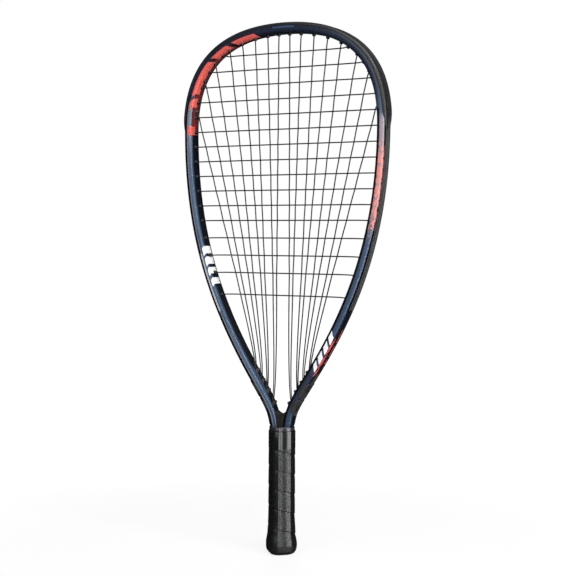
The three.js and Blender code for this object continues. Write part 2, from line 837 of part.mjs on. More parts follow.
const racket = new THREE.Group();

function addPiece(name, geometry, finish) {
  const mesh = new THREE.Mesh(geometry, finishes[finish]);
  mesh.name = name;
  racket.add(mesh);
}

const mainRoute = makeMainString();
const crossRoute = makeCrossString();
console.log('least gap of the main string to itself', leastGap(mainRoute, mainRoute, 4).toFixed(2));
console.log('least gap of the cross string to itself', leastGap(crossRoute, crossRoute, 4).toFixed(2));
console.log('least gap between the two strings', leastGap(mainRoute, crossRoute, 0).toFixed(2));

addPiece('frame_tube', makeFrameTube(), 'paint');
addPiece('bumper_guard', makeBumperGuard(), 'guard');
addPiece('grommet_strip_left', makeGrommetStrip(-1), 'strip');
addPiece('grommet_strip_right', makeGrommetStrip(1), 'strip');
addPiece('throat_grommet_left', makeThroatGrommet(-1), 'strip');
addPiece('throat_grommet_right', makeThroatGrommet(1), 'strip');
addPiece('throat_insert', makeThroatInsert(), 'guard');
addPiece('main_string', stringTube(mainRoute), 'string');
addPiece('cross_string', stringTube(crossRoute), 'string');
addPiece('handle_pallet_front', makePallet(-1), 'foam');
addPiece('handle_pallet_back', makePallet(1), 'foam');
addPiece('grip_wrap', makeGripWrap(), 'wrap');
addPiece('shaft_collar', makeShaftCollar(), 'guard');
addPiece('butt_cap', makeButtCap(), 'cap');
addPiece('butt_cap_staple_front', toGeometry(stapleSolid(-1, 0)), 'steel');
addPiece('butt_cap_staple_back', toGeometry(stapleSolid(1, 0)), 'steel');

export default racket;
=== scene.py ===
import math
from bisect import bisect_left

import bmesh
import bpy
from mathutils import Matrix, Vector
from mathutils.geometry import interpolate_bezier


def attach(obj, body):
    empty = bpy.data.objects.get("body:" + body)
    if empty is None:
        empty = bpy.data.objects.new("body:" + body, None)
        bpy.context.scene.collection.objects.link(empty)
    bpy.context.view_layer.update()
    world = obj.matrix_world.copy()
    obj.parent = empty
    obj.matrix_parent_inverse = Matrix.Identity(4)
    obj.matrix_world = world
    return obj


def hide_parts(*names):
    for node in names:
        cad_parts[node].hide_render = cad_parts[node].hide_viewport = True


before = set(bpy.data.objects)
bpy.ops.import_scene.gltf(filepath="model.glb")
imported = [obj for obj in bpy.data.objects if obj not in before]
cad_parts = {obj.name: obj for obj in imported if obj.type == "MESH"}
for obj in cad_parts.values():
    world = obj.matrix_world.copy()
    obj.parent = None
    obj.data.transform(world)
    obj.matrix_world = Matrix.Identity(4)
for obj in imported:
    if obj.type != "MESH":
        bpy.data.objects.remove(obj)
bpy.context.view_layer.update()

scene = bpy.context.scene
mm = 0.001


def hexColour(code):
    channels = [int(code[i:i + 2], 16) / 255 for i in (1, 3, 5)]
    linear = [c / 12.92 if c <= 0.04045 else ((c + 0.055) / 1.055) ** 2.4 for c in channels]
    return (*linear, 1.0)


def addNode(tree, kind, inputs=None, **settings):
    node = tree.nodes.new("ShaderNode" + kind)
    for name, value in settings.items():
        setattr(node, name, value)
    for key, value in (inputs or {}).items():
        if isinstance(value, bpy.types.NodeSocket):
            tree.links.new(value, node.inputs[key])
        else:
            node.inputs[key].default_value = value
    return node


# Noise stays mostly between these, so what it drives goes from end to end between them.
noiseSpan = {"From Min": 0.3, "From Max": 0.7}


def startMaterial(name, **sockets):
    material = bpy.data.materials.new(name)
    material.use_nodes = True
    tree = material.node_tree
    shader = tree.nodes["Principled BSDF"]
    for key, value in sockets.items():
        shader.inputs[key.replace("_", " ")].default_value = value
    return material, tree, shader


def smoothShare(value, low, high):
    t = min(max((value - low) / (high - low), 0.0), 1.0)
    return t * t * (3 - 2 * t)


# Camera: the photograph's place and lens, fitted to the racket's outline.
view = {
    "azimuth": 29.22, "down": 2.15, "roll": 0.35, "distance": 1369, "height": 333, "shift": 5.4,
    "lens": 81.25, "sensor": 36,
}


# Where the camera or a lamp stands, from how far round, away and up it is.
def standAt(shape):
    azimuth = math.radians(shape["azimuth"])
    away = shape["distance"]
    return Vector((math.sin(azimuth) * away, -math.cos(azimuth) * away, shape["height"]))


def makeCamera():
    azimuth = math.radians(view["azimuth"])
    down = math.radians(view["down"])
    towards = Vector((-math.sin(azimuth) * math.cos(down), math.cos(azimuth) * math.cos(down),
                      -math.sin(down)))
    right = Vector((math.cos(azimuth), math.sin(azimuth), 0))
    place = standAt(view) + right * view["shift"]
    data = bpy.data.cameras.new("photoCamera")
    data.lens = view["lens"]
    data.sensor_width = view["sensor"]
    camera = bpy.data.objects.new("photoCamera", data)
    turned = Matrix((right, right.cross(towards), -towards)).transposed()
    spin = Matrix.Rotation(math.radians(view["roll"]), 3, "Z")
    camera.matrix_world = Matrix.Translation(place * mm) @ (turned @ spin).to_4x4()
    scene.collection.objects.link(camera)
    scene.camera = camera


# Lamps: two tall softboxes to the right give the paired highlights on the grip and the streaks
# along the frame, a broad one in front lights the faces, two high ones light the guard, and one
# straight across from the camera shows the back. That one is left out of gloss, because it would
# glare along every edge that the camera just sees over.
lamps = {
    "softboxNear": {"azimuth": 43, "height": 250, "distance": 1500, "wide": 170, "tall": 1900, "power": 9},
    "softboxSide": {"azimuth": 79, "height": 250, "distance": 1500, "wide": 300, "tall": 1900, "power": 16},
    "softboxHigh": {"azimuth": 62, "height": 1750, "distance": 1150, "wide": 700, "tall": 1000, "power": 18},
    "fillFront": {"azimuth": -5, "height": 950, "distance": 2000, "wide": 1250, "tall": 1400, "power": 11},
    "softboxTop": {"azimuth": 5, "height": 2300, "distance": 1100, "wide": 900, "tall": 900, "power": 11},
    "softboxBack": {"azimuth": 209, "height": 900, "distance": 2000, "wide": 1000, "tall": 1300, "power": 24,
                    "gloss": False},
}
aimHeight = 300


def makeLamps():
    for name, lamp in lamps.items():
        place = standAt(lamp)
        data = bpy.data.lights.new(name, "AREA")
        data.shape = "RECTANGLE"
        data.size = lamp["wide"] * mm
        data.size_y = lamp["tall"] * mm
        data.energy = lamp["power"]
        light = bpy.data.objects.new(name, data)
        light.visible_camera = False
        light.visible_glossy = lamp.get("gloss", True)
        turned = (Vector((0, 0, aimHeight)) - place).to_track_quat("-Z", "Y").to_matrix().to_4x4()
        light.matrix_world = Matrix.Translation(place * mm) @ turned
        scene.collection.objects.link(light)


# World and floor, white to the camera. For all other light the world is dim round the horizon, as
# a studio's walls, and brighter overhead. The floor's paper shows near the racket, with its
# shadow, and fades to the white of the world.
studio = {
    "horizon": 0.02, "overhead": 0.16, "riseFrom": 0.1, "riseTo": 0.8,
    "floorColour": "#dcdcdc", "floorSize": 8000, "floorFade": [220, 800], "floorWhite": 0.8,
    "floorGlow": 1.06,
}


def makeWorld():
    world = bpy.data.worlds.new("studioWorld")
    scene.world = world
    world.use_nodes = True
    tree = world.node_tree
    tree.nodes.clear()
    rays = addNode(tree, "LightPath")
    direction = addNode(tree, "TexCoord").outputs["Generated"]
    white = addNode(tree, "Math", {0: rays.outputs["Is Camera Ray"], 1: rays.outputs["Is Transmission Ray"]},
                    operation="MAXIMUM")
    height = addNode(tree, "SeparateXYZ", {0: direction}).outputs["Z"]
    walls = addNode(tree, "MapRange", {"Value": height, "From Min": studio["riseFrom"],
                                       "From Max": studio["riseTo"], "To Min": studio["horizon"],
                                       "To Max": studio["overhead"]}, interpolation_type="SMOOTHSTEP")
    level = addNode(tree, "MapRange", {"Value": white.outputs[0], "To Min": walls.outputs["Result"],
                                       "To Max": 1.0})
    background = addNode(tree, "Background", {"Color": (1, 1, 1, 1), "Strength": level.outputs["Result"]})
    addNode(tree, "OutputWorld", {"Surface": background.outputs[0]})


def makeFloor():
    mesh = bmesh.new()
    bmesh.ops.create_grid(mesh, x_segments=1, y_segments=1, size=studio["floorSize"] / 2 * mm)
    data = bpy.data.meshes.new("studioFloor")
    mesh.to_mesh(data)
    mesh.free()
    floor = bpy.data.objects.new("studioFloor", data)
    scene.collection.objects.link(floor)
    floor.visible_glossy = False
    floor.visible_shadow = False
    material, tree, shader = startMaterial("matteWhitePaper", Roughness=0.9,
                                           Base_Color=hexColour(studio["floorColour"]))
    rays = addNode(tree, "LightPath")
    spot = addNode(tree, "TexCoord").outputs["Object"]
    distance = addNode(tree, "VectorMath", {0: spot}, operation="LENGTH")
    fadeFrom, fadeTo = studio["floorFade"]
    far = addNode(tree, "MapRange", {"Value": distance.outputs["Value"], "From Min": fadeFrom * mm,
                                     "From Max": fadeTo * mm, "To Min": studio["floorWhite"]},
                  interpolation_type="SMOOTHSTEP")
    shown = addNode(tree, "Math", {0: far.outputs["Result"], 1: rays.outputs["Is Camera Ray"]},
                    operation="MULTIPLY")
    glow = addNode(tree, "Emission", {"Color": (1, 1, 1, 1), "Strength": studio["floorGlow"]})
    mix = addNode(tree, "MixShader", {0: shown.outputs[0], 1: shader.outputs[0], 2: glow.outputs[0]})
    tree.links.new(mix.outputs[0], tree.nodes["Material Output"].inputs["Surface"])
    data.materials.append(material)


makeCamera()
makeLamps()
makeWorld()
makeFloor()
print("stage: camera, lamps, world and floor are set")

# Centre line of the hairpin tube, as in the frame: crown, widest point, arm and shaft.
hoop = {
    "crownHeight": 552.2, "crownHandle": 72, "widestHalf": 115.4, "widestHeight": 450, "sideHandle": 114.5,
    "armHalf": 33.8, "armHeight": 188.6, "armAngle": 33.7, "armHandleUp": 85.4, "armHandleDown": 42,
    "shaftHalf": 6.6, "shaftTop": 118, "shaftHandle": 30, "shaftEnd": 16, "bendSteps": 200,
}


def makeCentreLine():
    crown = Vector((0, hoop["crownHeight"]))
    widest = Vector((hoop["widestHalf"], hoop["widestHeight"]))
    arm = Vector((hoop["armHalf"], hoop["armHeight"]))
    shaft = Vector((hoop["shaftHalf"], hoop["shaftTop"]))
    angle = math.radians(hoop["armAngle"])
    slope = Vector((math.sin(angle), math.cos(angle)))
    bends = [
        (crown, crown + Vector((hoop["crownHandle"], 0)), widest + Vector((0, hoop["crownHandle"])), widest),
        (widest, widest - Vector((0, hoop["sideHandle"])), arm + slope * hoop["armHandleUp"], arm),
        (arm, arm - slope * hoop["armHandleDown"], shaft + Vector((0, hoop["shaftHandle"])), shaft),
    ]
    points = []
    for bend in bends:
        points += [p.copy() for p in interpolate_bezier(*bend, hoop["bendSteps"])[:-1]]
    return points + [shaft, Vector((hoop["shaftHalf"], hoop["shaftEnd"]))]


linePoints = makeCentreLine()
lineRuns = [0.0]
for one, other in zip(linePoints, linePoints[1:]):
    lineRuns.append(lineRuns[-1] + (other - one).length)
lineTangents = []
for place in range(len(linePoints)):
    after = linePoints[min(place + 1, len(linePoints) - 1)]
    lineTangents.append((after - linePoints[max(place - 1, 0)]).normalized())
lineTangents[0] = Vector((1, 0))
halfLength = lineRuns[-1]


# Centre, outward and forward directions at a run along the tube from the crown, left side negative.
def station(run):
    wanted = min(abs(run), halfLength)
    i = min(max(bisect_left(lineRuns, wanted), 1), len(lineRuns) - 1)
    share = (wanted - lineRuns[i - 1]) / (lineRuns[i] - lineRuns[i - 1])
    spot = linePoints[i - 1].lerp(linePoints[i], share)
    along = lineTangents[i - 1].lerp(lineTangents[i], share).normalized()
    side = -1 if run < 0 else 1
    centre = Vector((side * spot.x, 0, spot.y))
    out = Vector((-side * along.y, 0, along.x))
    forward = Vector((along.x, 0, side * along.y))
    return centre, out, forward


def runMatrix(run, wide=1.0, deep=1.0):
    centre, out, forward = station(run)
    turned = Matrix((out * wide, Vector((0, deep, 0)), forward)).transposed().to_4x4()
    return Matrix.Translation(centre) @ turned


# Finds by halving where a steadily rising or falling value reaches its target.
def solve(value, target, low, high, halvings=40):
    rising = value(high) > value(low)
    for _ in range(halvings):
        middle = (low + high) / 2
        if (value(middle) < target) == rising:
            low = middle
        else:
            high = middle
    return (low + high) / 2


def runAtHeight(height):
    return solve(lambda run: station(run)[0].z, height, 1, halfLength)


# Section of the tube, in millimetres from its middle: u points out of the hoop, v along Y.
tube = {
    "half": 4.4, "depthHalf": 9.0, "corner": 3.0, "cornerSteps": 7, "step": 3.0,
    "shaftHalf": 4.1, "shaftDepthHalf": 5.9, "taperTop": 185, "taperBottom": 126,
    "channelDepth": 2.0, "channelMouth": 3.2, "channelFloor": 2.4, "channelEnd": 138, "channelFade": 6,
    "neckWide": 1.1, "neckBottom": 135.6, "neckFull": 138, "neckTop": 166, "flankShares": (0.66, 0.33),
}


def tubeScale(run):
    share = smoothShare(station(run)[0].z, tube["taperBottom"], tube["taperTop"])
    wide = tube["shaftHalf"] + (tube["half"] - tube["shaftHalf"]) * share
    deep = tube["shaftDepthHalf"] + (tube["depthHalf"] - tube["shaftDepthHalf"]) * share
    return wide / tube["half"], deep / tube["depthHalf"]


# Place and outward direction on the tube's section, found by going a way along its outline from
# the middle of the outer side.
def tubeSkin(run, way):
    wide, deep = tubeScale(run)
    corner = tube["corner"]
    flat = tube["depthHalf"] - corner
    turn = min(max((way - flat) / corner, 0.0), math.pi / 2)
    rest = max(0.0, way - flat - corner * math.pi / 2)
    u = tube["half"] - corner * (1 - math.cos(turn)) - rest
    v = min(way, flat) + corner * math.sin(turn)
    return Vector((u * wide, v * deep)), Vector((math.cos(turn), math.sin(turn)))


def mirrored(half):
    return half + [(u, -v) for u, v in reversed(half)]


def arc(centreU, centreV, radius, fromAngle, toAngle, steps):
    points = []
    for i in range(steps + 1):
        angle = math.radians(fromAngle + (toAngle - fromAngle) * i / steps)
        points.append((centreU + radius * math.cos(angle), centreV + radius * math.sin(angle)))
    return points


def evenRuns(low, high, step):
    count = max(1, round((high - low) / step))
    return [low + (high - low) * i / count for i in range(count + 1)]


# Closed sweep of a section. It remembers on its points how far along, across and deep they lie.
def sweepSection(section, matrices, runs, tags=None):
    mesh = bmesh.new()
    layers = mesh.verts.layers.float
    for name in ("run", "across", "depth", "tag"):
        layers.new(name)
    ring = [mesh.verts.new((u, v, 0)) for u, v in section]
    for i, vert in enumerate(ring):
        vert[layers["across"]] = vert.co.x
        vert[layers["depth"]] = vert.co.y
        vert[layers["tag"]] = tags[i] if tags else 0.0
        vert[layers["run"]] = runs[0]
    edges = [mesh.edges.new(pair) for pair in zip(ring, ring[1:] + ring[:1])]
    firstEdges = list(edges)
    bmesh.ops.transform(mesh, matrix=matrices[0], verts=ring)
    for before, after, run in zip(matrices, matrices[1:], runs[1:]):
        grown = bmesh.ops.extrude_edge_only(mesh, edges=edges)["geom"]
        ring = [part for part in grown if isinstance(part, bmesh.types.BMVert)]
        edges = [part for part in grown if isinstance(part, bmesh.types.BMEdge) and part.is_boundary]
        bmesh.ops.transform(mesh, matrix=after @ before.inverted(), verts=ring)
        for vert in ring:
            vert[layers["run"]] = run
    bmesh.ops.contextual_create(mesh, geom=firstEdges)
    bmesh.ops.contextual_create(mesh, geom=edges)
    return mesh


# Adds a finished mesh to another one, and frees it.
def joinMesh(target, mesh):
    bmesh.ops.recalc_face_normals(mesh, faces=mesh.faces)
    data = bpy.data.meshes.new("joined")
    mesh.to_mesh(data)
    mesh.free()
    target.from_mesh(data)
    bpy.data.meshes.remove(data)


def finishPiece(name, mesh, material, replaced, sharp=40, scaled=True):
    if scaled:
        bmesh.ops.scale(mesh, vec=(mm, mm, mm), verts=mesh.verts)
    bmesh.ops.recalc_face_normals(mesh, faces=mesh.faces)
    for face in mesh.faces:
        face.smooth = True
    for edge in mesh.edges:
        edge.smooth = edge.calc_face_angle(0) < math.radians(sharp)
    data = bpy.data.meshes.new(name)
    mesh.to_mesh(data)
    mesh.free()
    data.materials.append(material)
    piece = bpy.data.objects.new(name, data)
    scene.collection.objects.link(piece)
    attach(piece, "root")
    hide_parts(*replaced)
    return piece


# Holes through the tube, as in the frame: each leans towards the string that comes out of it.
drilling = {
    "mainTipX": [107.6, 97.5, 84.2, 66.2, 51, 35, 20, 6.4],
    "throatHeights": [187.5, 177, 167, 154.5],
    "crossTop": 528.2, "crossPitch": 15.95, "evenCrosses": 12, "lowerPitch": 18.6, "lastPitch": 23.3,
    "crossCount": 16, "lean": 0.6, "throatLean": 1.0, "reach": 2.2, "throatReach": 3.0,
    "firstCrossRun": 30, "stripBottom": 262,
}


def makeHole(run, towards, lean, reach):
    centre, out, forward = station(run)
    axis = (-out + towards.normalized() * lean).normalized()
    stretch = 1 / axis.dot(-out)
    return {"run": run, "centre": centre, "axis": axis, "stretch": stretch,
            "tip": centre + axis * (tube["half"] + reach) * stretch}


def crossHeight(index):
    lower = max(0, index - drilling["evenCrosses"] + 1)
    wide = min(lower, drilling["crossCount"] - drilling["evenCrosses"] - 1)
    even = min(index, drilling["evenCrosses"] - 1)
    last = drilling["lastPitch"] if lower > wide else 0
    return drilling["crossTop"] - even * drilling["crossPitch"] - wide * drilling["lowerPitch"] - last


# Hole whose tip comes out at a wanted place, measured along x or z.
def holeThrough(axis, wanted, low, high, towards):
    def holeAt(run):
        return makeHole(run, towards(station(run)[0]), drilling["lean"], drilling["reach"])

    return holeAt(solve(lambda run: getattr(holeAt(run)["tip"], axis), wanted, low, high))


def makeHoles():
    throatRuns = [runAtHeight(height) for height in drilling["throatHeights"]]
    tips = drilling["mainTipX"]
    widestRun = runAtHeight(hoop["widestHeight"])
    crown = []
    for rank, tipX in enumerate(tips):
        aim = station(throatRuns[rank // 2])[0]
        crown.append(holeThrough("x", tipX, 1, widestRun, lambda centre: aim - centre))
    lowestRun = runAtHeight(drilling["stripBottom"])
    sides = []
    for index in range(drilling["crossCount"]):
        sides.append(holeThrough("z", crossHeight(index), drilling["firstCrossRun"], lowestRun,
                                 lambda centre: Vector((-1, 0, 0))))
    throat = []
    for pair, run in enumerate(throatRuns):
        aim = Vector(((tips[2 * pair] + tips[2 * pair + 1]) / 2, 0, hoop["crownHeight"]))
        throat.append(makeHole(run, aim - station(run)[0], drilling["throatLean"], drilling["throatReach"]))
    return crown, sides, throat


crownHoles, sideHoles, throatHoles = makeHoles()
print("stage: centre line and holes worked out")

# Barrel of a grommet: a tube through the hole, tapering towards its open tip.
barrel = {
    "root": 3.3, "radius": 2.25, "straight": 0.55, "tipRadius": 1.85, "bore": 1.0, "lip": 0.35,
    "long": 1.0, "steps": 16,
}
throatBarrel = {
    "root": 3.3, "radius": 2.6, "straight": 0.55, "tipRadius": 1.9, "bore": 1.15, "lip": 0.4,
    "long": 1.45, "steps": 20,
}


def addBarrel(target, hole, shape, side):
    length = (hole["tip"] - hole["centre"]).length + shape["root"] * hole["stretch"]
    profile = [(shape["bore"], 0), (shape["radius"], 0), (shape["radius"], length * shape["straight"]),
               (shape["tipRadius"], length - shape["lip"]), (shape["tipRadius"] - shape["lip"], length),
               (shape["bore"] + shape["lip"] / 2, length), (shape["bore"], length - shape["lip"])]
    mesh = bmesh.new()
    verts = [mesh.verts.new((radius, 0, rise)) for radius, rise in profile]
    edges = [mesh.edges.new(pair) for pair in zip(verts, verts[1:] + verts[:1])]
    bmesh.ops.spin(mesh, geom=verts + edges, cent=(0, 0, 0), axis=(0, 0, 1), angle=math.tau,
                   steps=shape["steps"], use_merge=True)
    bmesh.ops.remove_doubles(mesh, verts=mesh.verts, dist=1e-4)
    axis = hole["axis"]
    across = Vector((-axis.z, 0, axis.x))
    deep = Vector((0, shape["long"], 0))
    start = hole["centre"] - axis * shape["root"] * hole["stretch"]
    turned = Matrix((across, deep, axis)).transposed().to_4x4()
    flip = Matrix.Diagonal((side, 1, 1, 1))
    bmesh.ops.transform(mesh, matrix=flip @ Matrix.Translation(start) @ turned, verts=mesh.verts)
    joinMesh(target, mesh)


# Lacquer on the carbon-fibre tube: navy metallic base coat, brighter blue on the faces, under a clear gloss
# coat that gives soft mirror streaks. A darker navy on the inner side is painted shade, and so is black
# along the front corners that face away from the lamps and along the outer side above the throat.
lacquer = {
    "inside": "#0e141d", "navy": "#1b2232", "navyFlake": "#222c40", "blue": "#38495f",
    "blueFlake": "#445873", "black": "#090b10", "coral": "#d0554c", "coralWithPaintedHighlight": "#cf7d74",
    "coralPaintedShade": "#642626", "white": "#e6e8ea", "line": "#6f7581", "lineBright": "#a9aeb8",
    "crownPaintedHighlight": "#2e4565", "flake": 900, "sparkle": (0.35, 0.7), "metallic": 0.35, "edge": 4.1,
    "front": -0.4, "innerEdge": -3.8, "faceFrom": 5.3, "faceTo": 6.3, "hazeEdge": 4.0,
    "shadeBesideStripsTo": 372, "leftFrom": -120, "leftTo": -190, "rightFrom": 130, "rightTo": 175,
}
# How softly the painted zones end, in millimetres, and the dots, as a share of their cell.
soft = {
    "edge": 0.1, "innerEdge": 0.3, "innerCornerHighlight": 0.5, "black": 1, "haze": 0.2, "front": 0.2,
    "barEnd": 0.3, "barSide": 0.15, "speckle": 0.3, "dot": 0.03,
}
# Painted highlight: the blue of the front face carried round onto the front inner corner, how deep, and
# farther at the throat.
innerCornerHighlight = {
    "from": 150, "full": 210, "depth": -4.9, "more": 4.8, "moreFrom": 440, "moreFull": 460,
    "moreEnd": 492,
}
# Painted bars and lines, as runs from the crown: negative is the left arm. Each covers a part of
# the tube's section, from its inner side (negative) to its outer side.
paintedBars = [
    # Painted highlight: a blue streak along the crown's face.
    {"colour": "crownPaintedHighlight", "bars": [(-9, 16)], "across": (0.6, 2.2)},
    # Painted shade: black on the front corners that face away from the lamps, the left arm's outer one and
    # the right arm's inner one.
    {"colour": "black", "bars": [(-540, -138)], "across": (0.3, 4.6), "depth": (-9.2, -5)},
    {"colour": "black", "bars": [(162, 540)], "across": (-4.6, -0.75), "depth": (-9.2, -5)},
    # Painted highlight: a thin light line down the left arm's face.
    {"colour": "line", "bars": [(-540, -146)], "across": (-0.9, 0.3)},
    {"colour": "lineBright", "bars": [(-378, -312)], "slant": 0.4, "across": (-1.2, 0.7)},
    {"colour": "black", "bars": [(-400, -285)], "across": (-1.9, -1.3)},
    # Painted shade: darker coral on the left shoulder's inner side.
    {"colour": "coralPaintedShade", "bars": [(-181, -62)], "across": (-9, -4.2), "depth": (-6.2, 5.2)},
    {"colour": "coral", "bars": [(-63, -34), (-93, -70), (-141, -99), (-156, -146)], "slant": 1.3,
     "across": (-4.39, -1.1)},
    {"colour": "coral", "bars": [(-181, -172)], "across": (-4.39, -0.4)},
    {"colour": "white", "bars": [(-319, -311), (-331, -323), (-342, -335), (-354, -347)], "slant": 1.5,
     "across": (-9, -2.6), "depth": (-9, 5.4)},
    {"colour": "white", "bars": [(398, 406), (410, 418), (422, 430), (434, 440)], "slant": -1.2,
     "across": (-1.2, 3.6)},
    {"colour": "coral", "bars": [(398, 413), (417, 430), (434, 440)], "lean": 1.4, "across": (4.15, 9),
     "depth": (-7.2, 3.6)},
]
# Dots of sprayed coral on the right shoulder, painted pale as a painted highlight of the gloss, thinning out
# at both ends.
speckle = {
    "from": 182, "full": 208, "fade": 268, "to": 304, "across": (-0.75, 4.2), "cell": 2.3, "most": 0.62,
}
# Tints laid over the blue: pale mauve on the right shoulder, darker grey-blue low on the right arm, and pale
# grey on the left shoulder, which is a painted highlight.
tintsAndPaintedHighlight = [
    {"colour": "#8d838b", "from": 163, "full": 176, "fade": 262, "to": 302, "across": -0.75},
    {"colour": "#707986", "from": -138, "full": -152, "fade": -164, "to": -215, "across": -4.4},
    {"colour": "#343b4e", "from": 438, "full": 452, "fade": 486, "to": 500, "across": -0.75},
]


# Limits of a value that softly rises past one, falls below one, or lies between two.
def above(value, limit, width):
    return value, limit - width, limit + width


def below(value, limit, width):
    return value, limit + width, limit - width


def between(value, low, high, width):
    return (value, low - width, low), (value, high + width, high)


def makeLacquer():
    material, tree, shader = startMaterial("carbonTubeLacquer", Roughness=0.34, Specular_IOR_Level=0.25,
                                           Coat_Weight=0.5, Coat_Roughness=0.12)
    spot = addNode(tree, "TexCoord").outputs["Object"]
    run, across, depth = [addNode(tree, "Attribute", attribute_name=name).outputs["Fac"]
                          for name in ("run", "across", "depth")]
    deep = addNode(tree, "Math", {0: depth}, operation="ABSOLUTE").outputs[0]
    along = addNode(tree, "Math", {0: run}, operation="ABSOLUTE").outputs[0]

    # Part of the tube's skin where each value has gone from its first limit to its second.
    def zone(*limits, share=1.0):
        for value, start, full in limits:
            step = addNode(tree, "MapRange", {"Value": value, "From Min": start, "From Max": full},
                           interpolation_type="SMOOTHSTEP").outputs["Result"]
            share = addNode(tree, "Math", {0: share, 1: step}, operation="MULTIPLY").outputs[0]
        return share

    face = zone((deep, lacquer["faceFrom"], lacquer["faceTo"]),
                above(across, lacquer["innerEdge"], soft["innerEdge"]))
    # Painted highlight on the front inner corners, from the shoulders down and deeper at the throat.
    more = zone((along, innerCornerHighlight["moreFrom"], innerCornerHighlight["moreFull"]),
                (along, innerCornerHighlight["moreEnd"], innerCornerHighlight["moreFull"]))
    raised = addNode(tree, "Math", {0: more, 1: -innerCornerHighlight["more"], 2: depth}, operation="MULTIPLY_ADD")
    paintedCornerHighlight = zone(below(raised.outputs[0], innerCornerHighlight["depth"], soft["innerCornerHighlight"]),
                   (along, innerCornerHighlight["from"], innerCornerHighlight["full"]), below(across, 0, soft["edge"]))
    face = addNode(tree, "Math", {0: face, 1: paintedCornerHighlight}, operation="MAXIMUM").outputs[0]
    leftArm = zone((run, lacquer["leftFrom"], lacquer["leftTo"]))
    rightArm = zone((run, lacquer["rightFrom"], lacquer["rightTo"]))
    arms = addNode(tree, "Math", {0: leftArm, 1: rightArm}, operation="MAXIMUM").outputs[0]
    flakes = addNode(tree, "TexNoise", {"Vector": spot, "Scale": lacquer["flake"]})
    sparkle = zone((flakes.outputs["Fac"], *lacquer["sparkle"]))
    coats = []
    for base, flake in (("navy", "navyFlake"), ("blue", "blueFlake")):
        coats.append(addNode(tree, "Mix", {0: sparkle, 6: hexColour(lacquer[base]),
                                           7: hexColour(lacquer[flake])}, data_type="RGBA").outputs[2])
    body = addNode(tree, "Mix", {0: arms, 6: coats[0], 7: coats[1]}, data_type="RGBA").outputs[2]
    # The outer side is navy. Above the throat it is painted black, as painted shade in the gap beside the
    # guard and the side strips.
    side = zone(above(across, lacquer["edge"], soft["edge"]))
    shadeBesideStrips = zone(below(along, lacquer["shadeBesideStripsTo"], soft["black"]), share=side)
    layers = [(face, body), (side, hexColour(lacquer["navy"])), (shadeBesideStrips, hexColour(lacquer["black"]))]
    for haze in tintsAndPaintedHighlight:
        cloud = zone((run, haze["from"], haze["full"]), (run, haze["to"], haze["fade"]),
                     *between(across, haze["across"], lacquer["hazeEdge"], soft["haze"]), share=face)
        layers.append((cloud, hexColour(haze["colour"])))
    front = below(depth, lacquer["front"], soft["front"])
    decals = []
    for bar in paintedBars:
        slanted = addNode(tree, "Math", {0: across, 1: bar.get("slant", 0.0), 2: run},
                          operation="MULTIPLY_ADD")
        leaning = addNode(tree, "Math", {0: depth, 1: bar.get("lean", 0.0), 2: slanted.outputs[0]},
                          operation="MULTIPLY_ADD").outputs[0]
        inside = 0.0
        for low, high in bar["bars"]:
            stretch = zone(*between(leaning, low, high, soft["barEnd"]))
            inside = addNode(tree, "Math", {0: inside, 1: stretch}, operation="MAXIMUM").outputs[0]
        reach = between(depth, *bar["depth"], soft["barSide"]) if "depth" in bar else [front]
        mask = zone(*between(across, *bar["across"], soft["barSide"]), *reach, share=inside)
        decals.append((mask, hexColour(lacquer[bar["colour"]])))
    # Sprayed coral dots, their paleness a painted highlight.
    cells = addNode(tree, "TexVoronoi", {"Vector": spot, "Scale": 1 / (speckle["cell"] * mm)})
    fade = zone((run, speckle["from"], speckle["full"]), (run, speckle["to"], speckle["fade"]))
    fromDot = addNode(tree, "Math", {0: fade, 1: -speckle["most"], 2: cells.outputs["Distance"]},
                      operation="MULTIPLY_ADD").outputs[0]
    dots = zone(below(fromDot, 0, soft["dot"]), *between(across, *speckle["across"], soft["speckle"]), front)
    decals.append((dots, hexColour(lacquer["coralWithPaintedHighlight"])))
    # The base under every layer is the darker navy of the inner side, painted shade.
    colour = hexColour(lacquer["inside"])
    for mask, paint in layers + decals:
        colour = addNode(tree, "Mix", {0: mask, 6: colour, 7: paint}, data_type="RGBA").outputs[2]
    covered = 0.0
    for mask, paint in decals:
        covered = addNode(tree, "Math", {0: covered, 1: mask}, operation="MAXIMUM").outputs[0]
    metal = addNode(tree, "MapRange", {"Value": covered, "To Min": lacquer["metallic"], "To Max": 0.0})
    tree.links.new(metal.outputs["Result"], shader.inputs["Metallic"])
    tree.links.new(colour, shader.inputs["Base Color"])
    return material


# Moulded nylon and rubber: near black, with a fine spark-eroded grain that breaks up the
# highlight, and broad patches that are a little glossier or duller. The side strips' ribs are
# slanted dark stripes, painted shade of their grooves, as far apart as rib says.
nylon = {
    "patches": 60.0, "glossier": 0.06, "duller": 0.08, "grainDepth": 0.0001,
    "grooveShade": "#101113", "grooveFrom": 0.12, "grooveTo": 0.34, "ribSlant": 0.8,
}


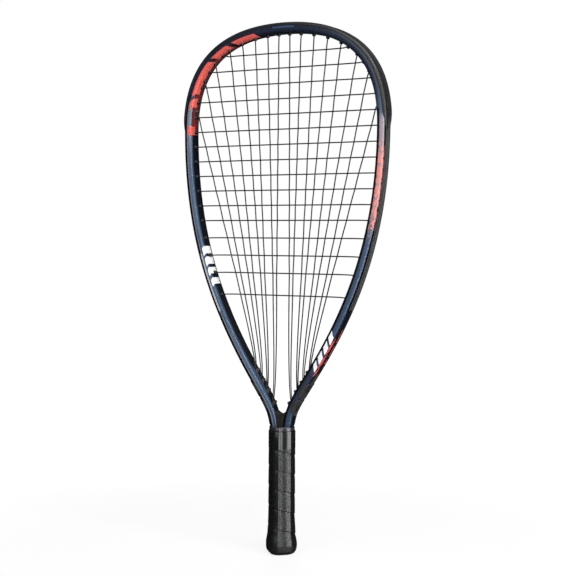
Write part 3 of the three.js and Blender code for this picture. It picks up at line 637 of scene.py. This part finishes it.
def makeNylon(name, colour, roughness, grain, rib=0):
    material, tree, shader = startMaterial(name, Specular_IOR_Level=0.5)
    spot = addNode(tree, "TexCoord").outputs["Object"]
    fine = addNode(tree, "TexNoise", {"Vector": spot, "Scale": grain, "Detail": 4.0, "Roughness": 0.6})
    broad = addNode(tree, "TexNoise", {"Vector": spot, "Scale": nylon["patches"], "Detail": 3.0})
    rough = addNode(tree, "MapRange", {"Value": broad.outputs["Fac"], **noiseSpan,
                                       "To Min": roughness - nylon["glossier"],
                                       "To Max": roughness + nylon["duller"]})
    tint = addNode(tree, "Mix", {0: broad.outputs["Fac"], 6: hexColour(colour[0]), 7: hexColour(colour[1])},
                   data_type="RGBA")
    if rib:
        run = addNode(tree, "Attribute", attribute_name="run").outputs["Fac"]
        depth = addNode(tree, "Attribute", attribute_name="depth").outputs["Fac"]
        slanted = addNode(tree, "Math", {0: depth, 1: nylon["ribSlant"], 2: run}, operation="MULTIPLY_ADD")
        wave = addNode(tree, "Math", {0: slanted.outputs[0], 1: rib / 2}, operation="PINGPONG")
        grooveShade = addNode(tree, "MapRange", {"Value": wave.outputs[0], "From Min": rib * nylon["grooveFrom"],
                                            "From Max": rib * nylon["grooveTo"]})
        tint = addNode(tree, "Mix", {0: grooveShade.outputs["Result"], 6: hexColour(nylon["grooveShade"]),
                                     7: tint.outputs[2]}, data_type="RGBA")
    tree.links.new(tint.outputs[2], shader.inputs["Base Color"])
    tree.links.new(rough.outputs["Result"], shader.inputs["Roughness"])
    bump = addNode(tree, "Bump", {"Height": fine.outputs["Fac"], "Strength": 0.25,
                                  "Distance": nylon["grainDepth"]})
    tree.links.new(bump.outputs["Normal"], shader.inputs["Normal"])
    return material


# Frame tube: one sweep round the hairpin, its string channel running out above the handle. It is
# widened at the neck, where the arms reach over the grip.
def makeTube():
    half, deep, corner = tube["half"], tube["depthHalf"], tube["corner"]
    steps = tube["cornerSteps"]
    outer = arc(half - corner, deep - corner, corner, 0, 90, steps)
    inner = arc(corner - half, deep - corner, corner, 90, 180, steps)
    channel = [(half - tube["channelDepth"], tube["channelFloor"]), (half, tube["channelMouth"])]
    flank = [(-half, share * (deep - corner)) for share in tube["flankShares"]]
    section = mirrored(channel + outer + inner + flank)
    floorTags = [1.0 if i in (0, len(section) - 1) else 0.0 for i in range(len(section))]
    runs = evenRuns(-halfLength, halfLength, tube["step"])
    mesh = sweepSection(section, [runMatrix(run, *tubeScale(run)) for run in runs], runs, floorTags)
    layers = mesh.verts.layers.float
    for vert in mesh.verts:
        run = vert[layers["run"]]
        centre, out, forward = station(run)
        if vert[layers["tag"]] > 0:
            filled = 1 - smoothShare(centre.z, tube["channelEnd"] - tube["channelFade"], tube["channelEnd"])
            vert.co += out * tube["channelDepth"] * tubeScale(run)[0] * filled
        outward = min(max(vert[layers["across"]] / tube["half"], 0.0), 1.0)
        neck = smoothShare(centre.z, tube["neckBottom"], tube["neckFull"])
        neck *= 1 - smoothShare(centre.z, tube["neckFull"], tube["neckTop"])
        vert.co += out * tube["neckWide"] * outward * neck
    return mesh


finishPiece("frameTube", makeTube(), makeLacquer(), ["frame_tube"], sharp=35)
print("stage: frame tube")

# Bumper guard and grommet strips, seated in the tube's outer channel. The pairs are steps outwards
# and along Y, for the rounded rims of the guard's and strips' sections.
guard = {
    "end": 446, "rail": 1.9, "flange": 0.6, "taper": 18, "taperBelow": 0.5, "tuck": 4.2, "flat": 4.9,
    "reach": 9.0, "bend": (-0.1, -0.6), "bendSteps": 8, "lip": 0.6, "lipDrop": 2.5, "lipShare": 0.6,
    "hollow": 1.2, "rim": [(-0.5, 0), (-0.12, 0.15), (0, 0.6)],
    "wall": 1.0, "side": 0.35, "gap": 0.3, "step": 2.5,
}
strip = {
    "top": 445.2, "bottom": 262, "reach": 4.3, "edge": 0.4, "step": 3.5,
    "rim": [(-0.15, 0), (0, 0.2)], "flangeEnd": [(0, -0.3), (-0.2, 0.1)],
}
# The throat strips' flanges swell into two round lobes that reach over onto the faces.
throatStrip = {
    "top": 195, "bottom": 148.5, "reach": 4.2, "drawn": 8.0, "step": 0.75, "lobeReach": 11.2,
    "lobeHalf": 8.7, "lobeHeights": (176.5, 158.8), "thinner": 0.85,
    "rows": (0.12, 0.25, 0.37, 0.5, 0.62, 0.75),
}


# Seat on the tube, and bottom, mouth and floor of what sits in the channel.
def channelFit():
    seat = tube["half"] + guard["gap"]
    bottom = tube["half"] - tube["channelDepth"] + guard["gap"]
    return seat, bottom, tube["channelMouth"] - guard["gap"], tube["channelFloor"] - guard["gap"]


def stripSection(reach, rows=()):
    seat, bottom, mouth, floor = channelFit()
    top = seat + guard["flange"]
    side = guard["side"]
    return mirrored([
        (bottom + guard["wall"], floor - side),
        *[(top + u, mouth - side + v) for u, v in strip["rim"]],
        *[(top, mouth + (reach - mouth) * share) for share in rows],
        *[(top + u, reach - strip["edge"] + v) for u, v in strip["flangeEnd"]], (seat, reach),
        *[(seat, mouth + (reach - mouth) * share) for share in reversed(rows)],
        (seat, mouth), (bottom, floor),
    ])


def makeGuard():
    seat, bottom, mouth, floor = channelFit()
    top = seat + guard["rail"]
    side = guard["side"]
    flatEnd = Vector((top, guard["flat"]))
    bend = Vector((top + guard["bend"][0], guard["reach"] + guard["bend"][1]))
    lipStart = Vector((seat - guard["lipDrop"] * guard["lipShare"], guard["reach"]))
    shoulder = []
    for i in range(guard["bendSteps"] + 1):
        t = i / guard["bendSteps"]
        shoulder.append(tuple(flatEnd * (1 - t) ** 2 + bend * 2 * t * (1 - t) + lipStart * t * t))
    section = mirrored([
        (bottom + guard["wall"], floor - side),
        *[(top + u, mouth - side + v) for u, v in guard["rim"]], *shoulder,
        (seat - guard["lipDrop"], guard["reach"] - guard["lip"]),
        (seat, guard["flat"] + guard["hollow"]), (seat, mouth), (bottom, floor),
    ])
    tags = [max(0.0, min(1.0, (u - seat) / guard["rail"])) for u, v in section]
    end = runAtHeight(guard["end"])
    runs = evenRuns(-end, end, guard["step"])
    mesh = sweepSection(section, [runMatrix(run) for run in runs], runs, tags)
    layers = mesh.verts.layers.float
    reachFrom = tube["channelMouth"]
    for vert in mesh.verts:
        centre, out, forward = station(vert[layers["run"]])
        left = 1 - math.sqrt(smoothShare(centre.z - guard["end"], -guard["taperBelow"], guard["taper"]))
        vert.co -= out * vert[layers["tag"]] * (guard["rail"] - guard["flange"]) * left
        beyond = max(0.0, abs(vert.co.y) - reachFrom) / (guard["reach"] - reachFrom)
        vert.co.y -= math.copysign(beyond * guard["tuck"] * left, vert.co.y)
    for hole in crownHoles + sideHoles:
        if hole["run"] < end:
            addBarrel(mesh, hole, barrel, 1)
            addBarrel(mesh, hole, barrel, -1)
    return mesh


def sweepStrip(section, shape, side):
    ends = sorted(side * runAtHeight(shape[end]) for end in ("top", "bottom"))
    runs = evenRuns(*ends, shape["step"])
    return sweepSection(section, [runMatrix(run) for run in runs], runs)


def makeSideStrip(side):
    mesh = sweepStrip(stripSection(strip["reach"]), strip, side)
    for hole in sideHoles:
        if hole["run"] > runAtHeight(strip["top"]):
            addBarrel(mesh, hole, barrel, side)
    return mesh


def makeThroatStrip(side):
    section = stripSection(throatStrip["drawn"], throatStrip["rows"])
    mesh = sweepStrip(section, throatStrip, side)
    layers = mesh.verts.layers.float
    mouth = tube["channelMouth"]
    for vert in mesh.verts:
        share = (abs(vert.co.y) - mouth) / (throatStrip["drawn"] - mouth)
        if share > 0:
            run = vert[layers["run"]]
            centre, out, forward = station(run)
            away = min(abs(centre.z - height) for height in throatStrip["lobeHeights"])
            lobe = math.sqrt(max(0.0, 1 - (away / throatStrip["lobeHalf"]) ** 2))
            reach = throatStrip["reach"] + (throatStrip["lobeReach"] - throatStrip["reach"]) * lobe
            spot, skinOut = tubeSkin(run, mouth + share * (reach - mouth))
            proud = vert[layers["across"]] - tube["half"]
            spot += skinOut * proud * (1 - throatStrip["thinner"] * lobe * share)
            vert.co = centre + out * spot.x + Vector((0, math.copysign(spot.y, vert.co.y), 0))
    for hole in throatHoles:
        addBarrel(mesh, hole, throatBarrel, side)
    return mesh


guardNylon = makeNylon("mouldedNylonGuard", ("#151618", "#1f2022"), 0.36, 3500)
stripNylon = makeNylon("mouldedNylonStrip", ("#2b2c2f", "#3c3d41"), 0.42, 3500, rib=2.6)
throatNylon = makeNylon("mouldedNylonThroat", ("#262526", "#323132"), 0.42, 3500)
finishPiece("bumperGuard", makeGuard(), guardNylon, ["bumper_guard"])
finishPiece("grommetStripLeft", makeSideStrip(-1), stripNylon, ["grommet_strip_left"])
finishPiece("grommetStripRight", makeSideStrip(1), stripNylon, ["grommet_strip_right"])
finishPiece("throatGrommetLeft", makeThroatStrip(-1), throatNylon, ["throat_grommet_left"])
finishPiece("throatGrommetRight", makeThroatStrip(1), throatNylon, ["throat_grommet_right"])
print("stage: guard and grommet strips")


# Copy of a frame node's mesh, its loose triangles merged into clean faces.
def copyNode(name, flat=1.0):
    mesh = bmesh.new()
    mesh.from_mesh(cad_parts[name].data)
    bmesh.ops.remove_doubles(mesh, verts=mesh.verts, dist=1e-6)
    if flat:
        bmesh.ops.dissolve_limit(mesh, angle_limit=math.radians(flat), verts=mesh.verts, edges=mesh.edges)
    return mesh


# Material whose tint, and where it has a depth its relief, follow one fine texture.
def makeTextured(name, texture, finish, **sockets):
    material, tree, shader = startMaterial(name, **sockets)
    spot = addNode(tree, "TexCoord").outputs["Object"]
    pattern = addNode(tree, texture, {"Vector": spot, "Scale": finish["scale"]}).outputs[0]
    tint = addNode(tree, "Mix", {0: pattern, 6: hexColour(finish["low"]), 7: hexColour(finish["high"])},
                   data_type="RGBA")
    tree.links.new(tint.outputs[2], shader.inputs["Base Color"])
    if "depth" in finish:
        bump = addNode(tree, "Bump", {"Height": pattern, "Strength": finish["relief"],
                                      "Distance": finish["depth"]})
        tree.links.new(bump.outputs["Normal"], shader.inputs["Normal"])
    return material


# Multifilament nylon string: charcoal, lightly coated, so each strand has a thin highlight.
strings = {
    "inflate": 0.23, "scale": 2400, "low": "#0c0d0f", "high": "#1d1e20", "relief": 0.2, "depth": 0.00005,
}


# The frame's string, made round. It is swollen first, because subdivision draws it in.
def makeString(name, node, material):
    mesh = copyNode(node, flat=0)
    bmesh.ops.join_triangles(mesh, faces=mesh.faces, angle_face_threshold=math.radians(180),
                             angle_shape_threshold=math.radians(180))
    mesh.normal_update()
    for vert in mesh.verts:
        vert.co += vert.normal * strings["inflate"] * mm
    piece = finishPiece(name, mesh, material, [node], sharp=180, scaled=False)
    smoother = piece.modifiers.new("round", "SUBSURF")
    smoother.levels = smoother.render_levels = 2


stringNylon = makeTextured("multifilamentString", "TexNoise", strings, Roughness=0.38, Coat_Weight=0.3,
                           Coat_Roughness=0.2)
makeString("mainString", "main_string", stringNylon)
makeString("crossString", "cross_string", stringNylon)
print("stage: strings")

# Handle: octagonal grip with a band wound up it, flared towards the butt.
grip = {
    "halfX": 13.75, "halfY": 14.65, "diagonal": 18.45, "corner": 2.2, "cornerSteps": 5,
    "sideSteps": 10, "crown": 0.75, "crownedFrom": 10,
    "thick": 1.5, "pitch": 20.8, "overlap": 0.5, "bottom": 10, "top": 131, "firstTurn": -0.884,
    "sleeveTop": 24, "flareStart": 40, "flareStep": 0.75, "flareBelow": 24, "flareWide": 1.85,
}
# Band's section, as pairs of a height out of the octagon and a distance from the band's edge: its
# lower edge is rounded and lies over the thinned upper edge of the turn below.
band = {
    "lowerEdge": [(-0.5, 0), (-0.1, 0.12), (0.06, 0.5), (0.08, 1.4)], "middle": 0.05,
    "upperEdge": [(-0.03, 7), (-0.1, 5), (-0.23, 3.3), (-0.38, 1.9), (-0.52, 0.8), (-0.7, 0)],
}


def gripFlare(height):
    step = grip["flareStep"] * (1 - smoothShare(height, grip["sleeveTop"], grip["flareStart"]))
    return step + grip["flareWide"] * (1 - smoothShare(height, grip["bottom"], grip["flareBelow"]))


# One turn round the octagon, its corners rounded and its flats slightly crowned by the cushion.
def gripLoop():
    x, y, diagonal = grip["halfX"], grip["halfY"], grip["diagonal"]
    corners = [Vector((x, diagonal - x)), Vector((diagonal - y, y))]
    corners += [Vector((-c.x, c.y)) for c in reversed(corners)]
    corners += [Vector((c.x, -c.y)) for c in reversed(corners)]
    loop = []
    count = len(corners)
    for i, corner in enumerate(corners):
        before = (corners[i - 1] - corner).normalized()
        after = (corners[(i + 1) % count] - corner).normalized()
        opening = before.angle(after)
        back = grip["corner"] / math.tan(opening / 2)
        centre = corner + (before + after).normalized() * grip["corner"] / math.sin(opening / 2)
        start = corner + before * back - centre
        turn = start.angle_signed(corner + after * back - centre)
        for k in range(grip["cornerSteps"] + 1):
            spoke = start.copy()
            spoke.rotate(Matrix.Rotation(-turn * k / grip["cornerSteps"], 2))
            loop.append(centre + spoke)
        sideStart = corner + after * back
        sideEnd = corners[(i + 1) % count] - after * back
        swell = spoke.normalized() * grip["crown"]
        swell *= min(1.0, (sideEnd - sideStart).length / grip["crownedFrom"])
        for k in range(1, grip["sideSteps"]):
            share = k / grip["sideSteps"]
            loop.append(sideStart.lerp(sideEnd, share) + swell * 4 * share * (1 - share))
    return list(reversed(loop))


# Closed band round the handle, from its rings of spots and their heights.
def addBand(target, rows):
    mesh = bmesh.new()
    rings = []
    for loop, height in rows:
        ring = [mesh.verts.new((spot.x, spot.y, height)) for spot in loop]
        rings.append([mesh.edges.new(pair) for pair in zip(ring, ring[1:] + ring[:1])])
    for one, other in zip(rings, rings[1:] + rings[:1]):
        bmesh.ops.bridge_loops(mesh, edges=one + other)
    joinMesh(target, mesh)


# Finishing tape over the top turn, as shares of the octagon's size and heights.
tape = [(0.93, 112.6), (1.004, 112.6), (1.011, 113.4), (1.011, 130.7), (1.004, 131), (0.93, 131)]


def makeWrap():
    loop = gripLoop()
    count = len(loop)
    lengths = [(loop[i] - loop[i - 1]).length for i in range(count)]
    total = sum(lengths)
    turns = math.ceil((grip["top"] - grip["bottom"]) / grip["pitch"]) + 2
    up = Vector((0, 0, 1))
    matrices = []
    runs = []
    gone = 0.0
    for turn in range(turns):
        for i, spot in enumerate(loop):
            along = (loop[(i + 1) % count] - loop[i - 1]).normalized()
            out = Vector((-along.y, along.x, 0))
            if out.to_2d().dot(spot) < 0:
                out = -out
            if turn or i:
                gone += lengths[i]
            height = grip["bottom"] + grip["pitch"] * (gone / total + grip["firstTurn"])
            turned = Matrix((out, up, out.cross(up))).transposed().to_4x4()
            matrices.append(Matrix.Translation((spot.x, spot.y, height)) @ turned)
            runs.append(gone)
    high = (grip["pitch"] + grip["overlap"]) / 2
    back = -grip["thick"]
    section = [
        (back, -high), *[(u, -high + v) for u, v in band["lowerEdge"]], (band["middle"], -high / 2),
        (0, 0), *[(u, high - v) for u, v in band["upperEdge"]], (back, high), (back, 0),
    ]
    mesh = sweepSection(section, matrices, runs)
    for height, way in ((grip["bottom"], -1), (grip["top"], 1)):
        geom = list(mesh.verts) + list(mesh.edges) + list(mesh.faces)
        bmesh.ops.bisect_plane(mesh, geom=geom, plane_co=(0, 0, height), plane_no=up * way, clear_outer=True)
        bmesh.ops.holes_fill(mesh, edges=[edge for edge in mesh.edges if edge.is_boundary], sides=0)
    addBand(mesh, [([spot * wide for spot in loop], height) for wide, height in tape])
    for vert in mesh.verts:
        wider = 1 + gripFlare(vert.co.z) / grip["halfY"]
        vert.co.x *= wider
        vert.co.y *= wider
    return mesh


# Grip band of perforated polyurethane leather: soft black with a waxy sheen, pores in rows and a
# fine grain. The finishing tape on it is smoother and glossier.
leather = {
    "dark": "#0c0d0e", "light": "#161718", "pore": "#050505", "poreSpacing": 2.5, "poreRadius": 0.42,
    "poreSoft": 0.05, "grainScale": 1400.0, "grain": 0.25, "grainDepth": 0.0002, "wearScale": 420.0,
    "glossiest": 0.22, "dullest": 0.4, "tapeRoughness": 0.2, "tapeGrain": 0.0625, "tapeEdge": 0.1,
}


def makeLeather():
    material, tree, shader = startMaterial("perforatedGripLeather", Specular_IOR_Level=0.5)
    spot = addNode(tree, "TexCoord").outputs["Object"]
    run = addNode(tree, "Attribute", attribute_name="run").outputs["Fac"]
    depth = addNode(tree, "Attribute", attribute_name="depth").outputs["Fac"]
    flatSpot = addNode(tree, "CombineXYZ", {0: run, 1: depth})
    cell = addNode(tree, "VectorMath", {0: flatSpot.outputs[0], 1: (1 / leather["poreSpacing"],) * 3},
                   operation="MULTIPLY")
    inCell = addNode(tree, "VectorMath", {0: cell.outputs[0]}, operation="FRACTION")
    centred = addNode(tree, "VectorMath", {0: inCell.outputs[0], 1: (0.5, 0.5, 0)}, operation="SUBTRACT")
    fromPore = addNode(tree, "VectorMath", {0: centred.outputs[0]}, operation="LENGTH")
    radius = leather["poreRadius"] / leather["poreSpacing"]
    pore = addNode(tree, "MapRange", {"Value": fromPore.outputs["Value"],
                                      "From Min": radius + leather["poreSoft"],
                                      "From Max": radius - leather["poreSoft"]},
                   interpolation_type="SMOOTHSTEP")
    grain = addNode(tree, "TexVoronoi", {"Vector": spot, "Scale": leather["grainScale"]},
                    feature="SMOOTH_F1")
    wear = addNode(tree, "TexNoise", {"Vector": spot, "Scale": leather["wearScale"], "Detail": 3.0,
                                      "Roughness": 0.65})
    tint = addNode(tree, "Mix", {0: wear.outputs["Fac"], 6: hexColour(leather["dark"]),
                                 7: hexColour(leather["light"])}, data_type="RGBA")
    holed = addNode(tree, "Mix", {0: pore.outputs["Result"], 6: tint.outputs[2],
                                  7: hexColour(leather["pore"])}, data_type="RGBA")
    rough = addNode(tree, "MapRange", {"Value": wear.outputs["Fac"], **noiseSpan,
                                       "To Min": leather["glossiest"], "To Max": leather["dullest"]})
    tall = addNode(tree, "SeparateXYZ", {0: spot}).outputs["Z"]
    tapeBottom = tape[0][1]
    taped = addNode(tree, "MapRange", {"Value": tall, "From Min": (tapeBottom - leather["tapeEdge"]) * mm,
                                       "From Max": tapeBottom * mm}).outputs["Result"]
    smoother = addNode(tree, "Mix", {0: taped, 2: rough.outputs["Result"], 3: leather["tapeRoughness"]})
    tree.links.new(holed.outputs[2], shader.inputs["Base Color"])
    tree.links.new(smoother.outputs[0], shader.inputs["Roughness"])
    level = addNode(tree, "MapRange", {"Value": taped, "To Min": leather["grain"],
                                       "To Max": leather["tapeGrain"]})
    raised = addNode(tree, "Math", {0: grain.outputs["Distance"], 1: level.outputs["Result"]},
                     operation="MULTIPLY")
    pricked = addNode(tree, "Math", {0: raised.outputs[0], 1: pore.outputs["Result"]}, operation="SUBTRACT")
    bump = addNode(tree, "Bump", {"Height": pricked.outputs[0], "Strength": 0.35,
                                  "Distance": leather["grainDepth"]})
    tree.links.new(bump.outputs["Normal"], shader.inputs["Normal"])
    return material


finishPiece("gripWrap", makeWrap(), makeLeather(), ["grip_wrap"], sharp=50)
print("stage: grip wrap")


# Frame solid with its edges rounded, as a mould leaves them.
softEdges = {"sharperThan": 18, "steps": 3}


def makeBevelled(name, node, material, width):
    piece = finishPiece(name, copyNode(node, flat=2.0), material, [node], sharp=180, scaled=False)
    bevel = piece.modifiers.new("softEdges", "BEVEL")
    bevel.width = width * mm
    bevel.segments = softEdges["steps"]
    bevel.limit_method = "ANGLE"
    bevel.angle_limit = math.radians(softEdges["sharperThan"])
    bevel.harden_normals = True


# Collar: the octagon of the handle outside, and a rounded slot for both shafts inside.
collar = {
    "bottom": 131.4, "top": 135.4, "size": 0.955, "softTop": 0.5, "topSize": 0.93,
    "slotX": 12.25, "slotY": 6.9, "power": 5,
}


def makeCollar():
    loop = gripLoop()
    power = collar["power"]
    bore = []
    for spot in loop:
        way = spot.normalized()
        shape = (abs(way.x) / collar["slotX"]) ** power + (abs(way.y) / collar["slotY"]) ** power
        bore.append(way / shape ** (1 / power))
    outer = [spot * collar["size"] for spot in loop]
    rounded = [spot * collar["topSize"] for spot in loop]
    mesh = bmesh.new()
    addBand(mesh, [(outer, collar["bottom"]), (outer, collar["top"] - collar["softTop"]),
                   (rounded, collar["top"]), (bore, collar["top"]), (bore, collar["bottom"])])
    return mesh


# Moulded rubber, matt on the cap and polished on the collar, and the throat's brownish plastic.
capRubber = makeNylon("mouldedCapRubber", ("#0e0f10", "#161718"), 0.5, 2500)
collarRubber = makeNylon("collarRubber", ("#222226", "#2c2c31"), 0.22, 2500)
insertPlastic = makeNylon("mouldedThroatPlastic", ("#131211", "#221f1a"), 0.5, 2500)
makeBevelled("buttCap", "butt_cap", capRubber, 0.7)
finishPiece("shaftCollar", makeCollar(), collarRubber, ["shaft_collar"])
makeBevelled("throatInsert", "throat_insert", insertPlastic, 0.6)


# Hidden pieces keep their frame solids: cream polyurethane foam with open cells, and drawn steel
# wire with faint streaks.
foam = {"scale": 1800.0, "low": "#c9bb9a", "high": "#a99a78", "relief": 0.4, "depth": 0.0002}
wire = {"scale": 3000.0, "low": "#9a9b9c", "high": "#b9babb"}
handleFoam = makeTextured("rigidHandleFoam", "TexVoronoi", foam, Roughness=0.9)
stapleSteel = makeTextured("drawnStapleWire", "TexNoise", wire, Metallic=1.0, Roughness=0.32)
for node in ("handle_pallet_front", "handle_pallet_back"):
    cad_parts[node].data.materials[0] = handleFoam
for node in ("butt_cap_staple_front", "butt_cap_staple_back"):
    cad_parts[node].data.materials[0] = stapleSteel
print("stage: cap, collar, insert and hidden pieces")

scene.view_settings.view_transform = "Standard"
